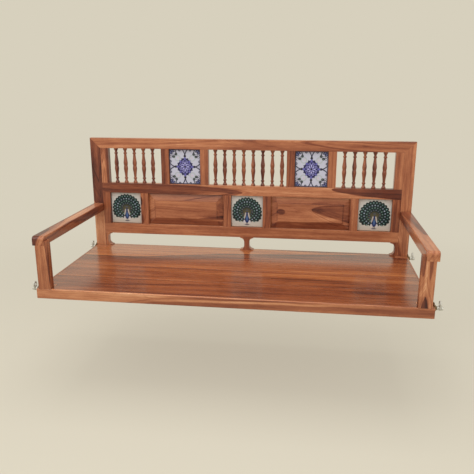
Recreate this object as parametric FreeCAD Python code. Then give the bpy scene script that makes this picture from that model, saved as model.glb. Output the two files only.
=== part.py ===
import FreeCAD, Part
import math
import os

# Jhoola: a wooden swing bench that hangs from four chains.
# +X is the sitter's left-to-right as seen from the front, +Y the back rest, +Z up.
# The origin is the middle of the seat's underside. All lengths are in millimetres.

os.makedirs("parts", exist_ok=True)
V = FreeCAD.Vector

# Stock and overall sizes
bench_length = 1530.0
seat_depth = 672.0
back_height = 535.0
board_thickness = 30.0
edge_ease = 1.2
overrun = 5.0
same_place_tolerance = 0.01

# Seat frame: rails round the rim, planks dropped in behind a narrow lip
seat_rail_height = 40.0
seat_rail_width = 60.0
seat_lip = 8.0
seat_edge_radius = 2.5
plank_thickness = 20.0
plank_count = 4
plank_ease = 0.8
batten_width = 60.0
batten_place_shares = (-2.0 / 3.0, 0.0, 2.0 / 3.0)
seat_tenon_wall = 5.0
seat_tenon_height = 12.0
seat_tenon_width = 44.0
seat_tenon_drop = 6.0

# Screws that hold the planks down on the battens
screw_shank_radius = 2.0
screw_head_radius = 4.0
screw_head_depth = 2.5
screw_cover = 7.0
screw_recess = 1.0
screw_edge_distance = 36.0

# Back rest: heights are measured up from the seat
stile_width = 49.0
gap_height = 65.0
bottom_rail_height = 50.5
mid_rail_height = 48.0
top_rail_height = 48.5
rail_tenon_length = 28.0
tenon_thickness = 12.0
tenon_shoulder = 8.0
mitre_tongue_length = 30.0
mitre_tongue_width = 24.0

# Uprights inside the back rest; the share is each side opening's part of the width left for balusters
muntin_width = 38.0
muntin_tenon_length = 10.0
muntin_tenon_shoulder = 6.0
side_opening_share = 0.2929

# Tiles and the boards behind them
tile_width = 152.4
lower_tile_height = 152.4
tile_side_clearance = 0.3
lower_tile_clearance = 1.05
upper_tile_clearance = 0.75
tile_thickness = 7.0
tile_recess = 11.0
tile_edge_radius = 1.0
tile_board_thickness = 6.0
tile_board_lap = 8.0

# Raised panels
panel_tongue_thickness = 6.0
panel_tongue_recess = 13.0
panel_groove_depth = 9.0
panel_groove_clearance = 1.0
panel_bevel_width = 34.0
panel_bevel_recess = 6.0
panel_field_recess = 4.0
panel_side_clearance = 0.5
panel_back_thickness = 6.0

# Turned balusters; starts and pitches are shares of the opening that a row stands in
baluster_side_count = 5
baluster_side_start_share = 0.1388
baluster_side_pitch_share = 0.1728
baluster_centre_count = 8
baluster_centre_start_share = 0.0887
baluster_centre_pitch_share = 0.1217
baluster_foot_radius = 10.0
baluster_neck_radius = 5.6
baluster_bead_radius = 8.6
baluster_belly_radius = 10.2
baluster_waist_radius = 8.3
baluster_pin_radius = 4.0
baluster_pin_length = 10.0
# Heights along half a baluster, from its foot to its middle, as shares of its length
foot_top_share = 0.036
lower_neck_share = 0.098
bead_low_share = 0.114
bead_share = 0.142
bead_high_share = 0.170
belly_share = 0.405
waist_share = 0.5

# Brackets and the short post under the back rest
bracket_width = 14.0
bracket_radius = 20.0
bracket_lip = 3.5
short_post_waist = 24.0

# Arms and their posts
arm_thickness = 36.5
arm_front_radius = 14.0
arm_edge_radius = 4.0
post_height = 179.0
post_width = 50.5
post_inset = 10.5
post_lip_height = 18.0

# Dowels
dowel_radius = 4.0
dowel_depth = 25.0
foot_dowel_spacing = 26.0
stile_dowel_setback = 8.0
arm_dowel_spacing = 20.0
arm_dowel_depth = 20.0

# Hangers: a link that turns on a bolt at each corner
hanger_front_inset = 37.0
hanger_back_inset = 22.0
hanger_drop = 11.0
bolt_radius = 4.0
bolt_hole_clearance = 0.3
bolt_head_radius = 7.5
bolt_head_height = 5.4
bolt_crown = 1.2
rosette_radius = 22.0
rosette_rim = 2.0
rosette_height = 12.0
rosette_hollow = 1.5
sleeve_radius = 7.0
sleeve_length = 8.0
link_thickness = 6.0
link_low_radius = 8.5
link_top_radius = 12.0
link_eye_distance = 16.5
link_eye_radius = 7.5
link_bore_clearance = 0.05
link_side_clearance = 0.3
link_edge_radius = 1.5
washer_radius = 8.0
washer_thickness = 1.6
barrel_nut_radius = 6.0
barrel_nut_length = 18.0
barrel_nut_edge_distance = 15.0

# Places worked out from the sizes above
end_x = bench_length / 2
front_y = -seat_depth / 2
rear_y = seat_depth / 2
seat_top = seat_rail_height
plank_low = seat_top - plank_thickness
corner_x = end_x - seat_rail_width
plank_end_x = end_x - seat_lip
inner_front_y = front_y + seat_rail_width
inner_rear_y = rear_y - seat_rail_width
plank_width = (seat_depth - 2 * seat_lip) / plank_count
seat_tenon_length = seat_rail_width - hanger_front_inset - barrel_nut_radius - seat_tenon_wall
back_front_y = rear_y - board_thickness
back_mid_y = rear_y - board_thickness / 2
stile_inner_x = end_x - stile_width
bottom_rail_low = seat_top + gap_height
lower_row_low = bottom_rail_low + bottom_rail_height
lower_row_high = lower_row_low + lower_tile_height + 2 * lower_tile_clearance
upper_row_low = lower_row_high + mid_rail_height
back_top = seat_top + back_height
upper_row_high = back_top - top_rail_height
upper_row_height = upper_row_high - upper_row_low
upper_tile_height = upper_row_height - 2 * upper_tile_clearance
tile_opening_width = tile_width + 2 * tile_side_clearance
row_end_x = stile_inner_x - muntin_width
baluster_width = 2 * (row_end_x - 2 * muntin_width - tile_opening_width)
side_opening_width = side_opening_share * baluster_width
side_opening_x = row_end_x - side_opening_width
upper_tile_x = side_opening_x - muntin_width - tile_opening_width / 2
centre_opening_x = upper_tile_x - tile_opening_width / 2 - muntin_width
lower_tile_x = row_end_x - tile_opening_width / 2
panel_far_x = row_end_x - tile_opening_width - muntin_width
panel_near_x = tile_opening_width / 2 + muntin_width
tile_back_y = back_front_y + tile_recess + tile_thickness
arm_low = seat_top + post_height
arm_top = arm_low + arm_thickness
post_outer_x = end_x - post_inset
post_inner_x = post_outer_x - post_width
post_rear_y = front_y + board_thickness
bolt_z = seat_top - hanger_drop
rosette_face_x = end_x + rosette_height
sleeve_end_x = rosette_face_x + sleeve_length
link_x = sleeve_end_x + link_side_clearance
washer_x = link_x + link_thickness + link_side_clearance
head_x = washer_x + washer_thickness
nut_x = corner_x + barrel_nut_edge_distance


def block(x0, x1, y0, y1, z0, z1):
    """A box between two corners."""
    return Part.makeBox(x1 - x0, y1 - y0, z1 - z0, V(x0, y0, z0))


def cylinder(radius, start, direction, length):
    return Part.makeCylinder(radius, length, start, direction)


def mirror_x(shape):
    """The same piece at the other end of the bench."""
    return shape.mirror(V(0, 0, 0), V(1, 0, 0))


def at(value, low, high):
    return abs(low - value) < same_place_tolerance and abs(high - value) < same_place_tolerance


def straight_edges(shape, x=None, y=None, z=None):
    """The edges that lie wholly at the given coordinates."""
    found = []
    for edge in shape.Edges:
        box = edge.BoundBox
        on_x = x is None or at(x, box.XMin, box.XMax)
        on_y = y is None or at(y, box.YMin, box.YMax)
        on_z = z is None or at(z, box.ZMin, box.ZMax)
        if on_x and on_y and on_z:
            found.append(edge)
    return found


def cut_all(shape, tools):
    """A piece with every mortise, groove and hole in the list taken out."""
    return shape.cut(Part.makeCompound(tools)) if tools else shape


def extruded(outline, y0, y1):
    """A closed outline of edges in the XZ plane at y0, carried back to y1."""
    face = Part.Face(Part.Wire(outline))
    return face.extrude(V(0, y1 - y0, 0))


def polyline(points):
    return [Part.LineSegment(a, b).toShape() for a, b in zip(points, points[1:] + points[:1])]


def save(name, shapes):
    """Write one node; a list of solids becomes one group."""
    shape = Part.makeCompound(shapes) if isinstance(shapes, list) else shapes
    shape.exportStep("parts/" + name + ".step")


# Openings of the back rest, each as (x0, x1, z0, z1)

def opening(x0, x1, upper):
    if upper:
        return (x0, x1, upper_row_low, upper_row_high)
    return (x0, x1, lower_row_low, lower_row_high)


def tile_opening(centre, upper):
    return opening(centre - tile_opening_width / 2, centre + tile_opening_width / 2, upper)


upper_tile_openings = [tile_opening(side * upper_tile_x, True) for side in (-1, 1)]
lower_tile_openings = [tile_opening(x, False) for x in (-lower_tile_x, 0.0, lower_tile_x)]
panel_openings = [opening(-panel_far_x, -panel_near_x, False), opening(panel_near_x, panel_far_x, False)]


def tile_board_seat(span):
    """The rebate round the back of a tile opening that takes its board."""
    x0, x1, z0, z1 = span
    lap = tile_board_lap
    return block(x0 - lap, x1 + lap, tile_back_y, rear_y + overrun, z0 - lap, z1 + lap)


def panel_groove(span):
    x0, x1, z0, z1 = span
    g = panel_groove_depth
    y0 = back_front_y + panel_tongue_recess
    return block(x0 - g, x1 + g, y0, y0 + panel_tongue_thickness, z0 - g, z1 + g)


rebates = [tile_board_seat(span) for span in upper_tile_openings + lower_tile_openings]
grooves = [panel_groove(span) for span in panel_openings]


# Uprights of the back rest: each is (left edge, in the upper row or not)

upper_muntin_edges = [
    -side_opening_x,
    -centre_opening_x - muntin_width,
    centre_opening_x,
    side_opening_x - muntin_width,
]
lower_muntin_edges = [
    -lower_tile_x + tile_opening_width / 2,
    -tile_opening_width / 2 - muntin_width,
    tile_opening_width / 2,
    lower_tile_x - tile_opening_width / 2 - muntin_width,
]
end_muntin_edges = [-stile_inner_x, row_end_x]


def muntin_tenons(x0, z0, z1):
    """The stub tenons above and below an upright, let into the rails."""
    left = x0 + muntin_tenon_shoulder
    right = x0 + muntin_width - muntin_tenon_shoulder
    y0 = back_mid_y - tenon_thickness / 2
    y1 = back_mid_y + tenon_thickness / 2
    low = block(left, right, y0, y1, z0 - muntin_tenon_length, z0)
    high = block(left, right, y0, y1, z1, z1 + muntin_tenon_length)
    return [low, high]


def muntin(x0, upper):
    """An upright with eased front edges, its tenons, and its share of grooves and rebates."""
    z0, z1 = opening(x0, x0, upper)[2:]
    x1 = x0 + muntin_width
    body = block(x0, x1, back_front_y, rear_y, z0, z1)
    rims = straight_edges(body, x=x0, y=back_front_y) + straight_edges(body, x=x1, y=back_front_y)
    body = body.makeFillet(edge_ease, rims)
    whole = body.fuse(muntin_tenons(x0, z0, z1)).removeSplitter()
    return cut_all(whole, rebates + grooves)


all_muntins = [(x, True) for x in upper_muntin_edges + end_muntin_edges]
all_muntins += [(x, False) for x in lower_muntin_edges + end_muntin_edges]
muntin_mortises = []
for muntin_edge, in_upper_row in all_muntins:
    row_low, row_high = opening(muntin_edge, muntin_edge, in_upper_row)[2:]
    muntin_mortises += muntin_tenons(muntin_edge, row_low, row_high)


# Balusters

side_row_shares = (baluster_side_start_share, baluster_side_pitch_share)
centre_row_shares = (baluster_centre_start_share, baluster_centre_pitch_share)
# Each row: the left edge and width of its opening, its shares and its count
baluster_rows = {
    "baluster_row_left": (-row_end_x, side_opening_width, side_row_shares, baluster_side_count),
    "baluster_row_centre": (
        -centre_opening_x, 2 * centre_opening_x, centre_row_shares, baluster_centre_count,
    ),
    "baluster_row_right": (side_opening_x, side_opening_width, side_row_shares, baluster_side_count),
}


def baluster_places(row):
    left, width, shares, count = baluster_rows[row]
    start_share, pitch_share = shares
    return [left + (start_share + index * pitch_share) * width for index in range(count)]


def baluster(x):
    """A turned stick: flared foot, bead, two bellies with a waist between, and the same again above."""
    h = upper_row_height
    mid = h / 2

    def half_outline(sign):
        """Edges from the end of the stick to its waist; sign 1 is the foot, -1 the head."""
        def p(radius, share):
            return V(radius, 0, mid + sign * (share * h - mid))
        foot = p(baluster_foot_radius, 0)
        foot_top = p(baluster_foot_radius, foot_top_share)
        neck = p(baluster_neck_radius, lower_neck_share)
        flare_radius = (baluster_foot_radius + 3 * baluster_neck_radius) / 4
        flare_mid = p(flare_radius, (foot_top_share + lower_neck_share) / 2)
        bead_low = p(baluster_neck_radius, bead_low_share)
        bead = p(baluster_bead_radius, bead_share)
        bead_high = p(baluster_neck_radius, bead_high_share)
        belly = p(baluster_belly_radius, belly_share)
        slope_radius = (3 * baluster_neck_radius + 2 * baluster_belly_radius) / 5
        slope_mid = p(slope_radius, (bead_high_share + belly_share) / 2)
        waist = p(baluster_waist_radius, waist_share)
        drop_radius = (3 * baluster_belly_radius + baluster_waist_radius) / 4
        drop_mid = p(drop_radius, (belly_share + waist_share) / 2)
        return [
            Part.LineSegment(foot, foot_top).toShape(),
            Part.Arc(foot_top, flare_mid, neck).toShape(),
            Part.LineSegment(neck, bead_low).toShape(),
            Part.Arc(bead_low, bead, bead_high).toShape(),
            Part.LineSegment(bead_high, slope_mid).toShape(),
            Part.LineSegment(slope_mid, belly).toShape(),
            Part.Arc(belly, drop_mid, waist).toShape(),
        ]

    pin_low = V(0, 0, -baluster_pin_length)
    pin_high = V(0, 0, h + baluster_pin_length)
    pin_out = V(baluster_pin_radius, 0, 0)
    ends = [
        Part.LineSegment(pin_low, pin_low + pin_out).toShape(),
        Part.LineSegment(pin_low + pin_out, pin_out).toShape(),
        Part.LineSegment(pin_out, V(baluster_foot_radius, 0, 0)).toShape(),
        Part.LineSegment(V(baluster_foot_radius, 0, h), pin_out + V(0, 0, h)).toShape(),
        Part.LineSegment(pin_out + V(0, 0, h), pin_out + pin_high).toShape(),
        Part.LineSegment(pin_out + pin_high, pin_high).toShape(),
        Part.LineSegment(pin_high, pin_low).toShape(),
    ]
    edges = ends + half_outline(1) + half_outline(-1)
    outline = Part.Wire(Part.__sortEdges__(edges))
    turned = Part.Face(outline).revolve(V(0, 0, 0), V(0, 0, 1), 360)
    turned.translate(V(x, back_mid_y, upper_row_low))
    return turned


baluster_holes = []
for row_name in baluster_rows:
    for place in baluster_places(row_name):
        foot_hole = V(place, back_mid_y, upper_row_low - baluster_pin_length)
        head_hole = V(place, back_mid_y, upper_row_high)
        baluster_holes.append(cylinder(baluster_pin_radius, foot_hole, V(0, 0, 1), baluster_pin_length))
        baluster_holes.append(cylinder(baluster_pin_radius, head_hole, V(0, 0, 1), baluster_pin_length))


# Dowels

def dowel_pair(centre, spacing, direction, depth_before, depth_after):
    """Two dowels side by side along X; each starts before the joint and ends after it."""
    pair = []
    for side in (-1, 1):
        start = centre + V(side * spacing / 2, 0, 0) - direction * depth_before
        pair.append(cylinder(dowel_radius, start, direction, depth_before + depth_after))
    return pair


def foot_dowels():
    """Dowels that stand in the seat's corners and enter the posts and stiles, right-hand end."""
    post_mid_x = (post_inner_x + post_outer_x) / 2
    stile_mid_x = (stile_inner_x + end_x) / 2
    post_foot = V(post_mid_x, front_y + board_thickness / 2, seat_top)
    stile_foot = V(stile_mid_x, back_mid_y + stile_dowel_setback, seat_top)
    up = V(0, 0, 1)
    return (dowel_pair(post_foot, foot_dowel_spacing, up, dowel_depth, dowel_depth)
            + dowel_pair(stile_foot, foot_dowel_spacing, up, dowel_depth, dowel_depth))


def arm_dowels():
    """Dowels from the arm down into its post and back into the stile, right-hand end."""
    shared_mid_x = (stile_inner_x + post_outer_x) / 2
    post_head = V(shared_mid_x, front_y + board_thickness / 2, arm_low)
    stile_joint = V((stile_inner_x + end_x) / 2, back_front_y, (arm_low + arm_top) / 2)
    return (dowel_pair(post_head, arm_dowel_spacing, V(0, 0, 1), dowel_depth, arm_dowel_depth)
            + dowel_pair(stile_joint, arm_dowel_spacing, V(0, 1, 0), dowel_depth, arm_dowel_depth))


def both_ends(solids):
    return solids + [mirror_x(solid) for solid in solids]


all_foot_dowels = both_ends(foot_dowels())
all_arm_dowels = both_ends(arm_dowels())


# Hangers

hanger_corners = {
    "front_left": (-1, front_y + hanger_front_inset),
    "front_right": (1, front_y + hanger_front_inset),
    "back_left": (-1, rear_y - hanger_back_inset),
    "back_right": (1, rear_y - hanger_back_inset),
}


def place_at_corner(shape, corner):
    """Move a fitting made at the right-hand end, on the axis y = 0, z = 0, to its corner."""
    side, y = hanger_corners[corner]
    moved = shape.copy() if side > 0 else mirror_x(shape)
    moved.translate(V(0, y, bolt_z))
    return moved


def turned_about_x(points):
    """A solid of revolution about the X axis from (x, radius) points."""
    outline = Part.Wire(polyline([V(x, 0, radius) for x, radius in points]))
    return Part.Face(outline).revolve(V(0, 0, 0), V(1, 0, 0), 360)


def bolt():
    shank = cylinder(bolt_radius, V(nut_x - barrel_nut_radius, 0, 0), V(1, 0, 0),
                     head_x - nut_x + barrel_nut_radius)
    corners = []
    for index in range(6):
        angle = math.radians(60 * index)
        corners.append(V(head_x, bolt_head_radius * math.cos(angle), bolt_head_radius * math.sin(angle)))
    hexagon = Part.Face(Part.Wire(polyline(corners))).extrude(V(bolt_head_height, 0, 0))
    far_x = head_x + bolt_head_height
    crown = turned_about_x([
        (head_x, 0),
        (head_x, bolt_head_radius),
        (far_x - bolt_crown, bolt_head_radius),
        (far_x, bolt_head_radius - bolt_crown),
        (far_x, 0),
    ])
    return shank.fuse(hexagon.common(crown)).removeSplitter()


def bolt_hole():
    """The hole for a bolt's shank, through the rosette, the sleeve and into the seat's corner."""
    start = V(nut_x - barrel_nut_radius - bolt_radius, 0, 0)
    length = rosette_face_x + sleeve_length + overrun - start.x
    return cylinder(bolt_radius + bolt_hole_clearance, start, V(1, 0, 0), length)


def barrel_nut():
    """A steel cross dowel that stands upright in the seat's corner, with the bolt's thread through it."""
    start = V(nut_x, 0, -barrel_nut_length / 2)
    body = cylinder(barrel_nut_radius, start, V(0, 0, 1), barrel_nut_length)
    thread = cylinder(bolt_radius, V(nut_x - overrun - barrel_nut_radius, 0, 0), V(1, 0, 0),
                      2 * (overrun + barrel_nut_radius))
    return body.cut(thread)


def barrel_nut_hole():
    """Bored up from the seat's underside, so that the top stays whole."""
    start = V(nut_x, 0, -bolt_z - overrun)
    return cylinder(barrel_nut_radius, start, V(0, 0, 1), bolt_z + overrun + barrel_nut_length / 2)


def rosette():
    """A turned cone with a slightly hollow flank between the seat's end and the sleeve."""
    rim = V(end_x + rosette_rim, 0, rosette_radius)
    nose = V(rosette_face_x, 0, sleeve_radius)
    middle = (rim + nose) * 0.5 - V(rosette_hollow, 0, rosette_hollow)
    edges = [
        Part.LineSegment(V(end_x, 0, 0), V(end_x, 0, rosette_radius)).toShape(),
        Part.LineSegment(V(end_x, 0, rosette_radius), rim).toShape(),
        Part.Arc(rim, middle, nose).toShape(),
        Part.LineSegment(nose, V(rosette_face_x, 0, 0)).toShape(),
        Part.LineSegment(V(rosette_face_x, 0, 0), V(end_x, 0, 0)).toShape(),
    ]
    cone = Part.Face(Part.Wire(edges)).revolve(V(0, 0, 0), V(1, 0, 0), 360)
    return cone.cut(bolt_hole())


def sleeve():
    tube = cylinder(sleeve_radius, V(rosette_face_x, 0, 0), V(1, 0, 0), sleeve_length)
    return tube.cut(bolt_hole())


def washer():
    disc = cylinder(washer_radius, V(washer_x, 0, 0), V(1, 0, 0), washer_thickness)
    return disc.cut(cylinder(bolt_radius, V(washer_x - overrun, 0, 0), V(1, 0, 0),
                             washer_thickness + 2 * overrun))


def link():
    """A flat pear-shaped link: a small eye on the bolt and a large eye above for the chain."""
    lean = math.asin((link_top_radius - link_low_radius) / link_eye_distance)
    side_y, side_z = math.cos(lean), -math.sin(lean)

    def rim(side, radius, height):
        return V(link_x, side * radius * side_y, height + radius * side_z)

    low_right = rim(1, link_low_radius, 0)
    low_left = rim(-1, link_low_radius, 0)
    top_right = rim(1, link_top_radius, link_eye_distance)
    top_left = rim(-1, link_top_radius, link_eye_distance)
    outline = Part.Wire([
        Part.Arc(low_left, V(link_x, 0, -link_low_radius), low_right).toShape(),
        Part.LineSegment(low_right, top_right).toShape(),
        Part.Arc(top_right, V(link_x, 0, link_eye_distance + link_top_radius), top_left).toShape(),
        Part.LineSegment(top_left, low_left).toShape(),
    ])
    plate = Part.Face(outline).extrude(V(link_thickness, 0, 0))
    rims = straight_edges(plate, x=link_x) + straight_edges(plate, x=link_x + link_thickness)
    plate = plate.makeFillet(link_edge_radius, rims)
    length = link_thickness + 2 * overrun
    bore = cylinder(bolt_radius + link_bore_clearance, V(link_x - overrun, 0, 0), V(1, 0, 0), length)
    eye = cylinder(link_eye_radius, V(link_x - overrun, 0, link_eye_distance), V(1, 0, 0), length)
    return plate.cut(bore).cut(eye)


corner_cuts = []
for corner_name in hanger_corners:
    corner_cuts.append(place_at_corner(bolt_hole(), corner_name))
    corner_cuts.append(place_at_corner(barrel_nut_hole(), corner_name))


# Seat

def end_rail_tenon(y0, y1):
    mid_x = (corner_x + end_x) / 2
    half = seat_tenon_width / 2
    return block(mid_x - half, mid_x + half, y0, y1, seat_tenon_drop, seat_tenon_drop + seat_tenon_height)


def end_rail_tenons():
    return [
        end_rail_tenon(inner_front_y - seat_tenon_length, inner_front_y),
        end_rail_tenon(inner_rear_y, inner_rear_y + seat_tenon_length),
    ]


def screw_places():
    """Two screws into each plank on the line of each batten; the outermost go through the long rails."""
    places = []
    for share in batten_place_shares:
        for index in range(plank_count):
            plank_mid = front_y + seat_lip + (index + 0.5) * plank_width
            for side in (-1, 1):
                offset = side * (plank_width / 2 - screw_edge_distance)
                places.append((share * corner_x, plank_mid + offset))
    return places


def screw(x, y):
    head_top = screw_recess + screw_head_depth
    foot = V(x, y, screw_recess)
    head = Part.makeCone(screw_head_radius, screw_shank_radius, screw_head_depth, foot, V(0, 0, 1))
    shank = cylinder(screw_shank_radius, V(x, y, head_top), V(0, 0, 1), seat_top - screw_cover - head_top)
    return head.fuse(shank).removeSplitter()


def screw_hole(x, y):
    """The screw's own space and the recess under its head."""
    recess = cylinder(screw_head_radius, V(x, y, -overrun), V(0, 0, 1), screw_recess + overrun)
    return screw(x, y).fuse(recess)


def screw_holes(y0, y1):
    return [screw_hole(x, y) for x, y in screw_places() if y0 < y < y1]


def seat_long_rail(outer_y, side):
    """The front rail (side 1) or the back rail (side -1), full height at its corners and
    rebated behind its lip for the planks."""
    inner_y = outer_y + side * seat_rail_width
    body = block(-end_x, end_x, min(outer_y, inner_y), max(outer_y, inner_y), 0, seat_rail_height)
    rims = straight_edges(body, y=outer_y)
    for x in (-end_x, end_x):
        rims += straight_edges(body, x=x, z=0) + straight_edges(body, x=x, z=seat_rail_height)
    body = body.makeFillet(seat_edge_radius, rims)
    lip_y = outer_y + side * seat_lip
    far_y = inner_y + side * overrun
    rebate = block(-corner_x, corner_x, min(lip_y, far_y), max(lip_y, far_y), plank_low, seat_top + overrun)
    tools = [rebate] + both_ends(end_rail_tenons()) + all_foot_dowels + corner_cuts
    return cut_all(body, tools + screw_holes(min(outer_y, inner_y), max(outer_y, inner_y)))


def seat_end_rail():
    """Rebated behind its lip, so that the planks run over it."""
    body = block(corner_x, end_x, inner_front_y, inner_rear_y, 0, seat_rail_height)
    rims = straight_edges(body, x=end_x, z=0) + straight_edges(body, x=end_x, z=seat_rail_height)
    body = body.makeFillet(seat_edge_radius, rims)
    rebate = block(corner_x - overrun, plank_end_x, inner_front_y - overrun, inner_rear_y + overrun,
                   plank_low, seat_top + overrun)
    return body.cut(rebate).fuse(end_rail_tenons()).removeSplitter()


def seat_plank(index):
    """A plank that reaches the lips of both end rails, between the full corners of the long rails."""
    y0 = front_y + seat_lip + index * plank_width
    body = block(-corner_x, corner_x, y0, y0 + plank_width, plank_low, seat_top)
    over_y0, over_y1 = max(y0, inner_front_y), min(y0 + plank_width, inner_rear_y)
    over_ends = block(-plank_end_x, plank_end_x, over_y0, over_y1, plank_low, seat_top)
    body = body.fuse(over_ends).removeSplitter()
    rims = straight_edges(body, z=seat_top)
    body = body.makeFillet(plank_ease, rims)
    return cut_all(body, screw_holes(y0, y0 + plank_width))


def seat_batten(share):
    x = share * corner_x
    body = block(x - batten_width / 2, x + batten_width / 2, inner_front_y, inner_rear_y, 0, plank_low)
    return cut_all(body, screw_holes(inner_front_y, inner_rear_y))


# Frame of the back rest

def mitre_tongue():
    """A loose tongue across the mitred corner, square to the joint, right-hand end."""
    slope = math.degrees(math.atan2(back_top - upper_row_high, stile_width))
    tongue = Part.makeBox(mitre_tongue_length, tenon_thickness, mitre_tongue_width,
                          V(-mitre_tongue_length / 2, -tenon_thickness / 2, -mitre_tongue_width / 2))
    tongue.rotate(V(0, 0, 0), V(0, 1, 0), 90 - slope)
    tongue.translate(V((stile_inner_x + end_x) / 2, back_mid_y, (upper_row_high + back_top) / 2))
    return tongue


mitre_tongues = both_ends([mitre_tongue()])


def rail_tenon(x0, x1, low, high):
    half = tenon_thickness / 2
    return block(x0, x1, back_mid_y - half, back_mid_y + half, low + tenon_shoulder, high - tenon_shoulder)


def rail_tenons(low, high):
    """A rail's tenons, one into each stile."""
    far_x = stile_inner_x + rail_tenon_length
    return [rail_tenon(stile_inner_x, far_x, low, high), rail_tenon(-far_x, -stile_inner_x, low, high)]


mid_rail_span = (lower_row_high, upper_row_low)
bottom_rail_span = (bottom_rail_low, lower_row_low)


def stile():
    """The right-hand upright of the back rest, mitred at its top and mortised for the rails."""
    outline = polyline([
        V(stile_inner_x, back_front_y, seat_top),
        V(end_x, back_front_y, seat_top),
        V(end_x, back_front_y, back_top),
        V(stile_inner_x, back_front_y, upper_row_high),
    ])
    body = extruded(outline, back_front_y, rear_y)
    rims = straight_edges(body, x=end_x, y=back_front_y) + straight_edges(body, x=end_x, y=rear_y)
    body = body.makeFillet(edge_ease, rims)
    mortises = rail_tenons(*mid_rail_span) + rail_tenons(*bottom_rail_span)
    return cut_all(body, mortises + mitre_tongues + all_foot_dowels + all_arm_dowels)


def top_rail():
    outline = polyline([
        V(-stile_inner_x, back_front_y, upper_row_high),
        V(stile_inner_x, back_front_y, upper_row_high),
        V(end_x, back_front_y, back_top),
        V(-end_x, back_front_y, back_top),
    ])
    body = extruded(outline, back_front_y, rear_y)
    rims = straight_edges(body, y=back_front_y, z=upper_row_high)
    rims += straight_edges(body, y=back_front_y, z=back_top) + straight_edges(body, y=rear_y, z=back_top)
    body = body.makeFillet(edge_ease, rims)
    return cut_all(body, muntin_mortises + baluster_holes + rebates + mitre_tongues)


def cross_rail(low, high, tools):
    """The middle or bottom rail, tenoned into both stiles."""
    body = block(-stile_inner_x, stile_inner_x, back_front_y, rear_y, low, high)
    rims = straight_edges(body, y=back_front_y, z=low) + straight_edges(body, y=back_front_y, z=high)
    body = body.makeFillet(edge_ease, rims)
    return cut_all(body.fuse(rail_tenons(low, high)).removeSplitter(), tools)


# Fillings of the back rest

def tile(span, height):
    """A glazed tile with softened edges on its face, in the middle of its opening."""
    x0, x1, z0, z1 = span
    mid_x, mid_z = (x0 + x1) / 2, (z0 + z1) / 2
    face_y = tile_back_y - tile_thickness
    body = block(mid_x - tile_width / 2, mid_x + tile_width / 2, face_y, tile_back_y,
                 mid_z - height / 2, mid_z + height / 2)
    return body.makeFillet(tile_edge_radius, straight_edges(body, y=face_y))


def tile_board(span):
    x0, x1, z0, z1 = span
    lap = tile_board_lap
    return block(x0 - lap, x1 + lap, tile_back_y, tile_back_y + tile_board_thickness, z0 - lap, z1 + lap)


def rectangle(x0, x1, y, z0, z1):
    return Part.makePolygon([V(x0, y, z0), V(x1, y, z0), V(x1, y, z1), V(x0, y, z1), V(x0, y, z0)])


def raised_panel(span):
    """A panel whose tongue sits in grooves: a flat field with a small step and wide bevels round it."""
    x0, x1, z0, z1 = span
    tongue_y = back_front_y + panel_tongue_recess
    bevel_y = back_front_y + panel_bevel_recess
    field_y = back_front_y + panel_field_recess
    g = panel_groove_depth - panel_groove_clearance
    c = panel_side_clearance
    b = panel_bevel_width
    tongue_back_y = tongue_y + panel_tongue_thickness
    tongue = block(x0 - g, x1 + g, tongue_y, tongue_back_y, z0 - g, z1 + g)
    bevel = Part.makeLoft([
        rectangle(x0 + c, x1 - c, tongue_y, z0 + c, z1 - c),
        rectangle(x0 + b, x1 - b, bevel_y, z0 + b, z1 - b),
    ], True, True)
    field = block(x0 + b, x1 - b, field_y, bevel_y, z0 + b, z1 - b)
    back = block(x0 + c, x1 - c, tongue_back_y, tongue_back_y + panel_back_thickness, z0 + c, z1 - c)
    return tongue.fuse([bevel, field, back]).removeSplitter()


# Pieces under the back rest

def hollow_side(x, direction, z0, z1):
    """The edges of a hollowed side, from its foot at z0 up to its head at z1; x is the waist,
    and direction points from the waist to the open gap."""
    r = bracket_radius
    tip_x = x + direction * r
    low, high = z0 + bracket_lip, z1 - bracket_lip
    bow = r * (1 - math.sqrt(0.5))
    return [
        Part.LineSegment(V(tip_x, back_front_y, z0), V(tip_x, back_front_y, low)).toShape(),
        Part.Arc(V(tip_x, back_front_y, low), V(x + direction * bow, back_front_y, low + bow),
                 V(x, back_front_y, low + r)).toShape(),
        Part.LineSegment(V(x, back_front_y, low + r), V(x, back_front_y, high - r)).toShape(),
        Part.Arc(V(x, back_front_y, high - r), V(x + direction * bow, back_front_y, high - bow),
                 V(tip_x, back_front_y, high)).toShape(),
        Part.LineSegment(V(tip_x, back_front_y, high), V(tip_x, back_front_y, z1)).toShape(),
    ]


def end_bracket():
    """The hollowed block between the bottom rail and the seat, against the right-hand stile."""
    waist_x = stile_inner_x - bracket_width
    tip_x = waist_x - bracket_radius
    closing = [
        Part.LineSegment(V(tip_x, back_front_y, bottom_rail_low),
                         V(stile_inner_x, back_front_y, bottom_rail_low)).toShape(),
        Part.LineSegment(V(stile_inner_x, back_front_y, bottom_rail_low),
                         V(stile_inner_x, back_front_y, seat_top)).toShape(),
        Part.LineSegment(V(stile_inner_x, back_front_y, seat_top),
                         V(tip_x, back_front_y, seat_top)).toShape(),
    ]
    return extruded(hollow_side(waist_x, -1, seat_top, bottom_rail_low) + closing, back_front_y, rear_y)


def short_post():
    """The waisted post that props the middle of the back rest."""
    half = short_post_waist / 2
    tip_x = half + bracket_radius
    head = Part.LineSegment(V(tip_x, back_front_y, bottom_rail_low),
                            V(-tip_x, back_front_y, bottom_rail_low)).toShape()
    foot = Part.LineSegment(V(-tip_x, back_front_y, seat_top), V(tip_x, back_front_y, seat_top)).toShape()
    edges = (hollow_side(half, 1, seat_top, bottom_rail_low) + [head, foot]
             + hollow_side(-half, -1, seat_top, bottom_rail_low))
    return extruded(Part.__sortEdges__(edges), back_front_y, rear_y)


# Arms

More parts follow.
